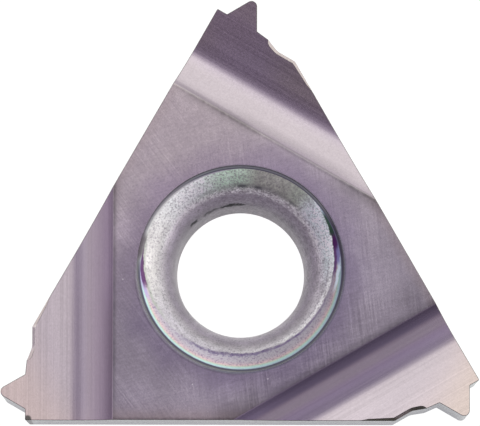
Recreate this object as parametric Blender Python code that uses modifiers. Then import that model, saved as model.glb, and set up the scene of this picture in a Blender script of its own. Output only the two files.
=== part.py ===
"""Laydown threading insert: a three-cornered cutting plate of coated cemented carbide.

Each corner carries one ground thread-form tooth with its topping shoulders, a broken edge behind it,
and a ground chip groove across it whose floor rises towards the tooth as the rake face.
A countersunk screw hole goes through the middle. The plate lies on its flat base, +Z up, and the
origin is in the middle of the base of its bounding box. Sizes are in metres.
"""

import math

import bmesh
import bpy
from mathutils import Matrix, Vector

MM = 0.001

# Plate
INSCRIBED_DIAMETER = 9.525 * MM     # circle that touches the three long sides
THICKNESS = 3.52 * MM
CORNERS = 3
FIRST_AXIS = math.radians(60.0)     # direction of the first tooth, seen from above
SIDE_RELIEF = math.radians(1.0)     # long sides lean inwards towards the base
FORM_RELIEF = math.radians(1.0)     # tooth form steps back along its axis towards the base

# Thread form of each tooth, full profile, metric 60 degree thread
PITCH = 1.25 * MM
THREAD_ANGLE = math.radians(60.0)
TOOTH_DEPTH_PER_PITCH = 0.61343     # external metric thread
NOSE_RADIUS_PER_PITCH = math.sqrt(3.0) / 12.0
ROOT_WIDTH_PER_PITCH = 7.0 / 8.0
SIDE_TO_TOOTH = 0.90 * MM           # tooth middle line in from the long side beside it
NOTCH_RADIUS = 0.05 * MM            # grinding wheel's edge, at both feet of the tooth

# Shoulder on the far side of the tooth
SHOULDER_WIDTH = 2.95 * MM          # plate's width along the shoulder, from side to side
SHOULDER_DROP = 0.21 * MM           # shoulder below the tooth's root line
TOPPING_LENGTH = 0.43 * MM
TOPPING_FALL = 0.045 * MM
STEP_LENGTH = 0.43 * MM
SHOULDER_RADIUS = 0.45 * MM
CORNER_RADIUS = 0.06 * MM
SIDE_CORNER_RADIUS = 0.03 * MM

# Broken edge that follows the shoulder and the start of the next long side
BREAK_WIDTH = 0.085 * MM
BREAK_ANGLE = math.radians(45.0)
BREAK_RUN_IN = 0.06 * MM
BREAK_SIDE_LENGTH = 1.05 * MM

# Chip groove and rake face
RIDGE_SETBACK = 2.755 * MM          # sharp edge to the top face, behind the tooth's root line
FLOOR_SETBACK = 1.420 * MM          # where the curved wall runs into the rake face
GROOVE_DEPTH = 0.42 * MM
RAKE_ANGLE = math.radians(5.6)

# Screw hole, from the top face down
RIM_DIAMETER = 6.50 * MM
RIM_BREAK_WIDTH = 0.10 * MM
RIM_BREAK_DEPTH = 0.07 * MM
SEAT_RADIUS = 1.75 * MM             # section of the convex seat, which ends upright in the bore
BORE_TOP_DIAMETER = 4.12 * MM
BORE_END_DIAMETER = 4.02 * MM
FLARE_HEIGHT = 0.29 * MM            # the bore's wider mouth, over the base
FLARE_ANGLE = math.radians(40.0)

# Smoothness
NOSE_STEPS = 10
NOTCH_STEPS = 3
BLEND_STEPS = 6
CORNER_STEPS = 3
WALL_STEPS = 16
SEAT_STEPS = 10
HOLE_STEPS = 72

CUT_MARGIN = 1.0 * MM               # how far a cutter stands clear of the plate
MERGE_DISTANCE = 1.0e-7

# Distances from the hole axis along a tooth that follow from the sizes above
THIRD_TURN = 2.0 * math.pi / CORNERS
NEAR_SIDE = INSCRIBED_DIAMETER / 2.0
SHOULDER_LINE = (
    NEAR_SIDE - (NEAR_SIDE - SHOULDER_WIDTH) * math.cos(THIRD_TURN)
) / math.sin(THIRD_TURN)
ROOT_LINE = SHOULDER_LINE + SHOULDER_DROP
GROOVE_RIDGE = ROOT_LINE - RIDGE_SETBACK
GROOVE_FLOOR = ROOT_LINE - FLOOR_SETBACK

COATING_COLOUR = (0.34, 0.29, 0.35, 1.0)
COATING_ROUGHNESS = 0.32


def clear_scene():
    """Remove every object of the scene."""
    for item in list(bpy.data.objects):
        bpy.data.objects.remove(item, do_unlink=True)


def make_collection(name):
    """Return a new collection linked to the scene."""
    collection = bpy.data.collections.new(name)
    bpy.context.scene.collection.children.link(collection)
    return collection


def coated_carbide():
    """Violet-grey coated carbide."""
    material = bpy.data.materials.new("coated_carbide")
    material.use_nodes = True
    shader = material.node_tree.nodes["Principled BSDF"]
    shader.inputs["Base Color"].default_value = COATING_COLOUR
    shader.inputs["Metallic"].default_value = 1.0
    shader.inputs["Roughness"].default_value = COATING_ROUGHNESS
    return material


def crossing(point_a, direction_a, point_b, direction_b):
    """Point where two lines of the plane meet."""
    turn = direction_a.x * direction_b.y - direction_a.y * direction_b.x
    gap = point_b - point_a
    along = (gap.x * direction_b.y - gap.y * direction_b.x) / turn
    return point_a + direction_a * along


def rounded(before, corner, after, radius, steps):
    """Corner of an outline as a tangent arc of the given radius."""
    towards_before = (before - corner).normalized()
    towards_after = (after - corner).normalized()
    half_angle = towards_before.angle(towards_after) / 2.0
    setback = radius / math.tan(half_angle)
    middle = (towards_before + towards_after).normalized()
    centre = corner + middle * (radius / math.sin(half_angle))
    start = corner + towards_before * setback - centre
    end = corner + towards_after * setback - centre
    sweep = start.angle_signed(end)
    return [centre + Matrix.Rotation(-sweep * step / steps, 2) @ start for step in range(steps + 1)]


def corner_profile(depth, edge_break):
    """Outline of one corner in its own axes, at a depth below the top face.

    x runs from the hole axis towards the long side beside the tooth and y along the tooth.
    The outline goes from that long side, over the tooth and its shoulder, to the next long side.
    edge_break is how far the broken edge has come in from the full outline at this depth.
    """
    side = NEAR_SIDE - depth * math.tan(SIDE_RELIEF)
    root = ROOT_LINE - depth * math.tan(FORM_RELIEF)
    tooth = NEAR_SIDE - SIDE_TO_TOOTH
    half_root = PITCH * ROOT_WIDTH_PER_PITCH / 2.0
    nose_radius = PITCH * NOSE_RADIUS_PER_PITCH
    nose_excess = nose_radius / math.sin(THREAD_ANGLE / 2.0) - nose_radius
    apex = root + PITCH * TOOTH_DEPTH_PER_PITCH + nose_excess

    foot_near = Vector((tooth + half_root, root))
    foot_far = Vector((tooth - half_root, root))
    topping_end = foot_far + Vector((-TOPPING_LENGTH, -TOPPING_FALL))
    shoulder = root - SHOULDER_DROP
    shoulder_start = Vector((topping_end.x - STEP_LENGTH, shoulder))
    step_direction = (shoulder_start - topping_end).normalized()
    step_inwards = Vector((-step_direction.y, step_direction.x))

    # The next long side, whose outward direction is turned by a third of a turn
    side_outwards = Vector((math.cos(THIRD_TURN), math.sin(THIRD_TURN)))
    side_direction = Vector((-side_outwards.y, side_outwards.x))
    side_inset = side - edge_break

    across = Vector((-1.0, 0.0))
    break_start = topping_end + step_direction * BREAK_RUN_IN + step_inwards * edge_break
    step_foot = crossing(break_start, step_direction, Vector((0.0, shoulder - edge_break)), across)
    side_corner = crossing(step_foot, across, side_outwards * side_inset, side_direction)
    full_corner = crossing(Vector((0.0, shoulder)), across, side_outwards * side, side_direction)
    break_end = full_corner + side_direction * BREAK_SIDE_LENGTH - side_outwards * edge_break
    side_start = full_corner + side_direction * (BREAK_SIDE_LENGTH + BREAK_RUN_IN)

    near_corner = Vector((side, root))
    along_side = near_corner - Vector((0.0, THICKNESS))
    apex_point = Vector((tooth, apex))
    points = rounded(along_side, near_corner, foot_near, SIDE_CORNER_RADIUS, CORNER_STEPS)
    points += rounded(near_corner, foot_near, apex_point, NOTCH_RADIUS, NOTCH_STEPS)
    points += rounded(foot_near, apex_point, foot_far, nose_radius, NOSE_STEPS)
    points += rounded(apex_point, foot_far, topping_end, NOTCH_RADIUS, NOTCH_STEPS)
    points += [topping_end, break_start]
    points += rounded(break_start, step_foot, side_corner, SHOULDER_RADIUS, BLEND_STEPS)
    points += rounded(step_foot, side_corner, break_end, CORNER_RADIUS, CORNER_STEPS)
    points += [break_end, side_start]
    return points


def corner_frame(index):
    """Turn from a corner's own axes to the plate's, as a plane rotation."""
    return Matrix.Rotation(FIRST_AXIS - index * THIRD_TURN - math.pi / 2.0, 2)


def plate_outline(depth, edge_break=0.0):
    """Whole outline of the plate at a depth below the top face, around the hole axis."""
    corner = [Vector((-point.x, point.y)) for point in corner_profile(depth, edge_break)]
    outline = []
    for index in range(CORNERS):
        turn = corner_frame(index)
        outline += [turn @ point for point in corner]
    return outline


def hole_axis():
    """Place of the hole axis when the origin is in the middle of the outline's box."""
    outline = plate_outline(0.0)
    middle_x = (min(point.x for point in outline) + max(point.x for point in outline)) / 2.0
    middle_y = (min(point.y for point in outline) + max(point.y for point in outline)) / 2.0
    return Vector((-middle_x, -middle_y, 0.0))


def rake_drop(distance):
    """How far the rake face lies below the top face at a distance from the hole axis."""
    return GROOVE_DEPTH - (distance - GROOVE_FLOOR) * math.tan(RAKE_ANGLE)


def build_plate(collection, material):
    """Relieved plate with the thread forms, lofted through three outlines."""
    break_level = rake_drop(SHOULDER_LINE) + BREAK_WIDTH / math.tan(BREAK_ANGLE)
    sections = [
        (THICKNESS, 0.0),
        (break_level, 0.0),
        (0.0, break_level * math.tan(BREAK_ANGLE)),
    ]
    shape = bmesh.new()
    rings = []
    for depth, edge_break in sections:
        outline = plate_outline(depth, edge_break)
        rings.append([shape.verts.new((point.x, point.y, THICKNESS - depth)) for point in outline])
    for lower, upper in zip(rings, rings[1:]):
        count = len(lower)
        for index in range(count):
            following = (index + 1) % count
            shape.faces.new((lower[index], lower[following], upper[following], upper[index]))
    shape.faces.new(rings[0])
    shape.faces.new(rings[-1])
    bmesh.ops.recalc_face_normals(shape, faces=shape.faces)
    mesh = bpy.data.meshes.new("insert")
    shape.to_mesh(mesh)
    shape.free()
    mesh.materials.append(material)
    plate = bpy.data.objects.new("insert", mesh)
    plate.location = hole_axis()
    collection.objects.link(plate)
    return plate


def groove_section():
    """Section of the material that a chip groove removes: distance from the hole axis, height."""
    # The wall is one arc that starts at the ridge and ends tangent to the rake face
    normal = Vector((-math.sin(RAKE_ANGLE), math.cos(RAKE_ANGLE)))
    floor_point = Vector((GROOVE_FLOOR, -GROOVE_DEPTH))
    ridge_point = Vector((GROOVE_RIDGE, 0.0))
    chord = ridge_point - floor_point
    radius = chord.length_squared / (2.0 * chord.dot(normal))
    centre = floor_point + normal * radius
    start = ridge_point - centre
    sweep = start.angle_signed(floor_point - centre)
    wall = [
        centre + Matrix.Rotation(-sweep * step / WALL_STEPS, 2) @ start
        for step in range(WALL_STEPS + 1)
    ]
    climb = Vector((start.y, -start.x)).normalized() * CUT_MARGIN
    lead_in = ridge_point + Vector((-abs(climb.x), abs(climb.y)))
    far = ROOT_LINE + PITCH + CUT_MARGIN
    far_point = Vector((far, -rake_drop(far)))
    return [lead_in] + wall + [far_point, Vector((far, lead_in.y))]


def build_groove_cutter(collection, index, axis):
    """Bar with the groove's section, laid across one corner."""
    curve = bpy.data.curves.new("groove_section", "CURVE")
    curve.dimensions = "2D"
    curve.fill_mode = "BOTH"
    curve.extrude = INSCRIBED_DIAMETER
    spline = curve.splines.new("POLY")
    section = groove_section()
    spline.points.add(len(section) - 1)
    for point, place in zip(spline.points, section):
        point.co = (place.x, place.y, 0.0, 1.0)
    spline.use_cyclic_u = True
    bar = bpy.data.objects.new("groove_bar", curve)
    collection.objects.link(bar)
    upright = Matrix.Rotation(math.pi / 2.0, 4, "X")
    turn = Matrix.Rotation(FIRST_AXIS - index * THIRD_TURN, 4, "Z")
    place = Matrix.Translation(axis + Vector((0.0, 0.0, THICKNESS)))
    bar.matrix_world = place @ turn @ upright
    bpy.context.view_layer.update()
    evaluated = bar.evaluated_get(bpy.context.evaluated_depsgraph_get())
    mesh = bpy.data.meshes.new_from_object(evaluated)
    shape = bmesh.new()
    shape.from_mesh(mesh)
    bmesh.ops.remove_doubles(shape, verts=shape.verts, dist=MERGE_DISTANCE)
    bmesh.ops.recalc_face_normals(shape, faces=shape.faces)
    shape.to_mesh(mesh)
    shape.free()
    cutter = bpy.data.objects.new("groove_cutter_%d" % (index + 1), mesh)
    cutter.matrix_world = bar.matrix_world.copy()
    bpy.data.objects.remove(bar, do_unlink=True)
    collection.objects.link(cutter)
    return cutter


def seat_arc():
    """Convex screw seat: an arc from the rim's broken edge that ends upright where the bore starts."""
    start = Vector((RIM_DIAMETER / 2.0 - RIM_BREAK_WIDTH, -RIM_BREAK_DEPTH))
    across = BORE_TOP_DIAMETER / 2.0 + SEAT_RADIUS - start.x
    centre = start + Vector((across, -math.sqrt(SEAT_RADIUS ** 2 - across ** 2)))
    sweep = (start - centre).angle_signed(Vector((-1.0, 0.0)))
    return [
        centre + Matrix.Rotation(-sweep * step / SEAT_STEPS, 2) @ (start - centre)
        for step in range(SEAT_STEPS + 1)
    ]


def build_hole_cutter(collection, axis):
    """Turned form of the countersunk screw hole."""
    bore_end = BORE_END_DIAMETER / 2.0
    below = THICKNESS + CUT_MARGIN
    flare = bore_end + (FLARE_HEIGHT + CUT_MARGIN) * math.tan(FLARE_ANGLE)
    profile = [Vector((0.0, CUT_MARGIN)), Vector((RIM_DIAMETER / 2.0, CUT_MARGIN))]
    profile += [Vector((RIM_DIAMETER / 2.0, 0.0))]
    profile += seat_arc()
    profile += [Vector((bore_end, FLARE_HEIGHT - THICKNESS))]
    profile += [Vector((flare, -below)), Vector((0.0, -below))]
    mesh = bpy.data.meshes.new("hole_profile")
    edges = [(index, index + 1) for index in range(len(profile) - 1)]
    mesh.from_pydata([(point.x, 0.0, point.y) for point in profile], edges, [])
    cutter = bpy.data.objects.new("hole_cutter", mesh)
    cutter.location = axis + Vector((0.0, 0.0, THICKNESS))
    collection.objects.link(cutter)
    turning = cutter.modifiers.new("turning", "SCREW")
    turning.axis = "Z"
    turning.steps = HOLE_STEPS
    turning.render_steps = HOLE_STEPS
    turning.use_merge_vertices = True
    turning.merge_threshold = MERGE_DISTANCE
    return cutter


def cut(target, cutter):
    """Subtract a cutter from the target and show the cutter as a guide."""
    boolean = target.modifiers.new(cutter.name, "BOOLEAN")
    boolean.operation = "DIFFERENCE"
    boolean.solver = "EXACT"
    boolean.object = cutter
    cutter.hide_render = True
    cutter.display_type = "WIRE"


def main():
    clear_scene()
    parts = make_collection("threading_insert")
    cutters = make_collection("cutters")
    plate = build_plate(parts, coated_carbide())
    axis = hole_axis()
    for index in range(CORNERS):
        cut(plate, build_groove_cutter(cutters, index, axis))
    cut(plate, build_hole_cutter(cutters, axis))


main()
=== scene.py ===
"""Looks of a laydown threading insert: ground cemented carbide under a thin violet-grey coating.

The plate is one closed surface, worked out as a grid: the columns go round the outline, and the rows
go once round the section, over the top face, groove and rake face, edge, flank, base and screw hole.
Shapes are in millimetres until the mesh is written.
"""

import math

import bmesh
import bpy
import numpy as np
from mathutils import Matrix


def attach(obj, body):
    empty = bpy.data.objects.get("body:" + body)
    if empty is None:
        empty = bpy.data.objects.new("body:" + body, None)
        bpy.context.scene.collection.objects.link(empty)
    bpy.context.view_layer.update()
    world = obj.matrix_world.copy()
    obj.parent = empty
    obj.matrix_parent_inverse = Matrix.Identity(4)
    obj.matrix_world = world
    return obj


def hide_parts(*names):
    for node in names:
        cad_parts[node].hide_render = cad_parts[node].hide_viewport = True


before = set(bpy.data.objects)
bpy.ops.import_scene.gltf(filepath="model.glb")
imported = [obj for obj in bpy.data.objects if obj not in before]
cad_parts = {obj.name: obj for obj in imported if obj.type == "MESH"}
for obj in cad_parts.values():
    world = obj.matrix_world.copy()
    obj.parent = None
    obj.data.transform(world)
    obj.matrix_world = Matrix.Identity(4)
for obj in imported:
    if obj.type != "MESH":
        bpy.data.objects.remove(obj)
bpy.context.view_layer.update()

MM = 0.001

# Plate
INSCRIBED_DIAMETER = 9.525
CORNERS = 3
THIRD_TURN = 2.0 * math.pi / CORNERS
FIRST_AXIS = math.radians(60.0)
CORNER_TURNS = [FIRST_AXIS - index * THIRD_TURN - math.pi / 2.0 for index in range(CORNERS)]
RELIEF = math.tan(math.radians(1.0))
THICKNESS = 3.52
NEAR_SIDE = INSCRIBED_DIAMETER / 2.0

# Thread form and shoulder of a corner
PITCH = 1.25
NOSE_RADIUS = PITCH * math.sqrt(3.0) / 12.0
TOOTH_DEPTH = PITCH * 0.61343
HALF_ROOT = PITCH * 7.0 / 16.0
SIDE_TO_TOOTH = 0.90
SHOULDER_WIDTH = 2.95
SHOULDER_DROP = 0.21
TOPPING_LENGTH = 0.43
TOPPING_FALL = 0.045
STEP_LENGTH = 0.43
NOTCH_RADIUS = 0.05
FINE_RADIUS = 0.03
STEP_RADIUS = 0.45
SHOULDER_RADIUS = 0.13
SHOULDER_LINE = (
    NEAR_SIDE - (NEAR_SIDE - SHOULDER_WIDTH) * math.cos(THIRD_TURN)
) / math.sin(THIRD_TURN)
ROOT_LINE = SHOULDER_LINE + SHOULDER_DROP

# Chip groove, rake face and edges
GROOVE_RIDGE = ROOT_LINE - 2.755
GROOVE_FLOOR = ROOT_LINE - 1.42
GROOVE_DEPTH = 0.42
RAKE_ANGLE = math.radians(5.6)
RIDGE_SOFTNESS = 0.012
FOOT_SOFTNESS = 0.16
EDGE_RADIUS = 0.018
BASE_EDGE_RADIUS = 0.02
BREAK_WIDTH = 0.085
BREAK_WIDEST = BREAK_WIDTH * 1.3
BREAK_RUN_IN = 0.12
BREAK_SIDE_LENGTH = 1.05
BREAK_RUN_OUT = 0.25

# Screw hole, from the top face down
RIM_RADIUS = 3.25
RIM_ROUNDING = 0.012
RIM_BREAK_WIDTH = 0.10
RIM_BREAK_DEPTH = 0.07
SEAT_RADIUS = 1.75
BORE_MOUTH_RADIUS = 2.06
THROAT_RADIUS = 2.01
THROAT_END = 3.23
UNDERSIDE_SLOPE = math.tan(math.radians(40.0))
FLARE_MARGIN = 0.05
SEAT_BRINK = np.array([RIM_RADIUS - RIM_BREAK_WIDTH, -RIM_BREAK_DEPTH])
SEAT_CENTRE = np.array([BORE_MOUTH_RADIUS + SEAT_RADIUS, 0.0])
SEAT_CENTRE[1] = SEAT_BRINK[1] - math.sqrt(SEAT_RADIUS ** 2 - (SEAT_CENTRE[0] - SEAT_BRINK[0]) ** 2)
FACET_CENTRE = np.array([-0.080, 0.333])
FACET_RADIUS = 3.008
FACET_WAVE = 0.012
FACET_WAVE_COUNTS = (23.0, 9.0)
BRINK_FROM = 3.14
BRINK_TO = 3.26

# Studio: azimuths and angles from straight up, in degrees; a soft light also has an inner and outer radius
# and a gain
BRIGHT_SIDE = 76.0
DIM_LEVEL = 0.50
BRIGHT_LEVEL = 1.50
SIDE_SPREAD = 0.22
HORIZON_SPREAD = 0.8
HORIZON_SHARES = (0.26, 0.68)
HORIZON_TOPS = (0.80, 0.50)
PATCH_PLACE = (-153.0, 3.4)
PATCH_INNER = 5.0
PATCH_OUTER = 15.0
PATCH_SHARE = 0.22
TINT_REACH = 1.6
LIGHT_TINTS = [(0.12, (1.0, 0.80, 1.12)), (0.85, (1.0, 1.02, 0.95))]
BACKDROP_LEVEL = 1.1
WHITE = (1.0, 1.0, 1.0, 1.0)
SOFT_LIGHTS = [(105.0, 18.0, 4.0, 18.0, 0.35), (-8.0, 62.0, 8.0, 36.0, 0.9)]

# Floor: radii and drop in metres, and how much of its white the camera and other rays see
FLOOR_RADII = [0.0, 0.02, 0.1, 0.5, 2.5]
FLOOR_SIDES = 48
FLOOR_DROP = 1.0e-5
FLOOR_COLOUR = (0.78, 0.78, 0.78, 1.0)
FLOOR_ROUGHNESS = 0.7
FLOOR_LEVEL = 1.12
SEEN_SHARE = 0.9
REFLECTED_SHARE = 0.3

# Camera, worked out from the photo
CAMERA_TILT = math.radians(4.898)
CAMERA_DISTANCE = 262.58
CAMERA_LENS = 628.0
SENSOR_WIDTH = 36.0
CLIP_RANGE = (0.02, 20.0)
CAMERA_ROLL = math.radians(0.115)
AIM_RIGHT = -0.0239
AIM_UP = 1.740

# Spacing of the columns and rows
SIDE_STEP = 0.15
FORM_STEP = 0.09
WELD_DISTANCE = 3.0e-7
TOP_FACE, RAKE_FACE, FLANK, HOLE = range(4)

# Input that the shared effects have in common: name, kind and given value
PLACE_INPUT = ("Vector", "Vector", (0.0, 0.0, 0.0))


def unit(vectors):
    """Vectors divided by their lengths."""
    return vectors / np.linalg.norm(vectors, axis=-1, keepdims=True)


def turned(points, angle):
    """Plane points turned about the origin by an angle, or by one angle each."""
    x = points[..., 0] * np.cos(angle) - points[..., 1] * np.sin(angle)
    y = points[..., 0] * np.sin(angle) + points[..., 1] * np.cos(angle)
    return np.stack([x, y], axis=-1)


def tangent_arc(before, corner, after, radius, steps):
    """Corner rounded by an arc that touches both its sides, with the normals to the left of the way.

    The arc's centre lies on the corner's bisector at radius / sin(half angle), and the points are the
    first tangent point turned about it in equal steps.
    """
    to_before = unit(before - corner)
    to_after = unit(after - corner)
    half = 0.5 * math.acos(float(np.clip(to_before @ to_after, -1.0, 1.0)))
    centre = corner + unit(to_before + to_after) * radius / math.sin(half)
    start = corner + to_before * radius / math.tan(half) - centre
    end = corner + to_after * radius / math.tan(half) - centre
    sweep = math.atan2(start[0] * end[1] - start[1] * end[0], float(start @ end))
    spokes = turned(np.tile(start, (steps + 1, 1)), sweep * np.linspace(0.0, 1.0, steps + 1))
    return centre + spokes, -math.copysign(1.0, sweep) * spokes / radius


def rounded_chain(corners, step):
    """Way through rounded corners, given as (point, radius, steps); the first and last are only guides.

    Between two arcs the straight is divided into about equal steps.
    """
    places = [np.array(point, float) for point, _, _ in corners]
    points = []
    normals = []
    for index in range(1, len(corners) - 1):
        arc, across = tangent_arc(*places[index - 1:index + 2], *corners[index][1:])
        if points:
            start = points[-1][-1]
            run = arc[0] - start
            parts = max(1, round(float(np.linalg.norm(run)) / step))
            points.append(start + run * np.arange(1, parts)[:, None] / parts)
            normals.append(np.tile(turned(unit(run), math.pi / 2.0), (parts - 1, 1)))
        points.append(arc)
        normals.append(across)
    return np.concatenate(points), np.concatenate(normals)


def corner_form(depth):
    """Outline of one corner at a depth, from the near long side to the next one, with outward normals.

    x runs across the tooth and y along it, from the hole axis. The material is right of the way.
    """
    side = NEAR_SIDE - depth * RELIEF
    root = ROOT_LINE - depth * RELIEF
    tooth = SIDE_TO_TOOTH - NEAR_SIDE
    topping_end = (tooth + HALF_ROOT + TOPPING_LENGTH, root - TOPPING_FALL)
    shoulder = root - SHOULDER_DROP
    side_corner = ((side - math.sin(THIRD_TURN) * shoulder) / -math.cos(THIRD_TURN), shoulder)
    beyond = (side_corner[0] + math.sin(THIRD_TURN), shoulder + math.cos(THIRD_TURN))
    return rounded_chain([
        ((-side, root - 1.0), 0.0, 0),
        ((-side, root), FINE_RADIUS, 4),
        ((tooth - HALF_ROOT, root), NOTCH_RADIUS, 5),
        ((tooth, root + TOOTH_DEPTH + NOSE_RADIUS), NOSE_RADIUS, 16),
        ((tooth + HALF_ROOT, root), NOTCH_RADIUS, 5),
        (topping_end, FINE_RADIUS, 3),
        ((topping_end[0] + STEP_LENGTH, shoulder), STEP_RADIUS, 8),
        (side_corner, SHOULDER_RADIUS, 6),
        (beyond, 0.0, 0),
    ], FORM_STEP)


def groove_height(distance):
    """Height over the top face at a distance along the tooth.

    Outside the foot it is the rake plane. Inside it is an arc, tangent to that plane at the foot, that
    reaches the top face at the ridge, and inside the ridge the arc's tangent there. The way x in from
    the foot starts softly, as (x + sqrt(x^2 + softness^2)) / 2, and the top face and the wall w meet in
    the soft lesser of 0 and w: (w - sqrt(w^2 + softness^2)) / 2.
    """
    way_in = GROOVE_FLOOR - distance
    way_in = 0.5 * (way_in + np.sqrt(way_in ** 2 + FOOT_SOFTNESS ** 2))
    rake = (distance - GROOVE_FLOOR + way_in) * math.tan(RAKE_ANGLE)
    distance = GROOVE_FLOOR - way_in
    normal = np.array([-math.sin(RAKE_ANGLE), math.cos(RAKE_ANGLE)])
    foot = np.array([GROOVE_FLOOR, -GROOVE_DEPTH])
    chord = np.array([GROOVE_RIDGE, 0.0]) - foot
    radius = float(chord @ chord) / (2.0 * float(chord @ normal))
    centre = foot + normal * radius
    reach = np.clip(distance, GROOVE_RIDGE, GROOVE_FLOOR) - centre[0]
    arc = centre[1] - np.sqrt(radius ** 2 - reach ** 2)
    slope = (centre[0] - GROOVE_RIDGE) / centre[1]
    wall = arc + slope * np.clip(GROOVE_RIDGE - distance, 0.0, None)
    soft = 0.5 * (wall - np.sqrt(wall ** 2 + RIDGE_SOFTNESS ** 2))
    return soft + rake


def groove_slope(distance):
    """Slope of the groove's height along the tooth, from two heights a little apart."""
    apart = 1.0e-4
    return (groove_height(distance + apart) - groove_height(distance - apart)) / (2.0 * apart)


def break_width(points, run_out):
    """Width of the broken edge: the rake face's height over a fixed level, faded in and out."""
    level = groove_height(np.array(SHOULDER_LINE)) - BREAK_WIDTH
    width = np.clip(groove_height(points[:, 1]) - level, 0.0, BREAK_WIDEST)
    topping_end = SIDE_TO_TOOTH - NEAR_SIDE + HALF_ROOT + TOPPING_LENGTH
    fade_in = np.clip((points[:, 0] - topping_end) / BREAK_RUN_IN, 0.0, 1.0)
    return width * fade_in * np.clip(run_out / BREAK_RUN_OUT, 0.0, 1.0)


def row_levels():
    """Distances along the tooth of the rows that cross a corner: dense at the ridge, even on the wall."""
    ridge = GROOVE_RIDGE + np.array([-0.06, -0.03, -0.015, -0.006, 0.0, 0.006, 0.015, 0.03, 0.06])
    wall = np.linspace(GROOVE_RIDGE + 0.06, GROOVE_FLOOR, 15)[1:]
    rake = np.append(GROOVE_FLOOR + np.array([0.05, 0.1, 0.17, 0.26]), SHOULDER_LINE - 0.25)
    return np.concatenate([ridge, wall, rake])


def third_of_outline():
    """One third of the outline in a corner's own axes, column by column.

    It goes up the near side from the last corner's ridge, over the corner, and down the next side to
    this corner's ridge. Where a side crosses the groove, a column meets each row at its end. Gives the
    places on the top level and at the base, the outward normals, and the broken edge's widths.
    """
    levels = row_levels()
    across = np.array([-1.0, 0.0])
    outward = np.array([-math.cos(THIRD_TURN), math.sin(THIRD_TURN)])
    along = np.array([outward[1], -outward[0]])
    start = (outward[1] * (NEAR_SIDE - EDGE_RADIUS) - levels[0]) / outward[0]
    count = round((levels[0] - start) / SIDE_STEP)
    near = np.concatenate([np.linspace(start, levels[0], count + 1)[1:-1], levels])
    near_side = np.stack([np.full(len(near), -NEAR_SIDE), near], axis=1)

    form, form_normals = corner_form(0.0)
    base_form, _ = corner_form(THICKNESS)
    ends = levels[levels <= GROOVE_FLOOR + 1.0e-9][::-1]
    meets = ends + outward[1] * (EDGE_RADIUS - RELIEF * groove_height(ends))
    runs = (form[-1, 1] - meets) / -along[1]
    count = round(runs[0] / FORM_STEP)
    runs = np.concatenate([np.linspace(0.0, runs[0], count + 1)[1:-1], runs])
    next_side = form[-1] + along * runs[:, None]

    sides_in = THICKNESS * RELIEF
    top = np.concatenate([near_side, form, next_side])
    base = np.concatenate([near_side - across * sides_in, base_form, next_side - outward * sides_in])
    normals = np.concatenate([
        np.tile(across, (len(near), 1)), form_normals, np.tile(outward, (len(runs), 1)),
    ])
    run_out = np.concatenate([
        np.full(len(near) + len(form), BREAK_RUN_OUT), BREAK_SIDE_LENGTH - runs,
    ])
    return top, base, normals, break_width(top, run_out)


def edge_section():
    """Quarter circle of an edge, cut in two halves: the sine and cosine of its turn, and its half."""
    angle = np.radians([15.0, 30.0, 45.0, 45.0, 60.0, 75.0, 90.0])
    return list(zip(np.sin(angle), np.cos(angle), np.arange(len(angle)) > 2))


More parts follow.
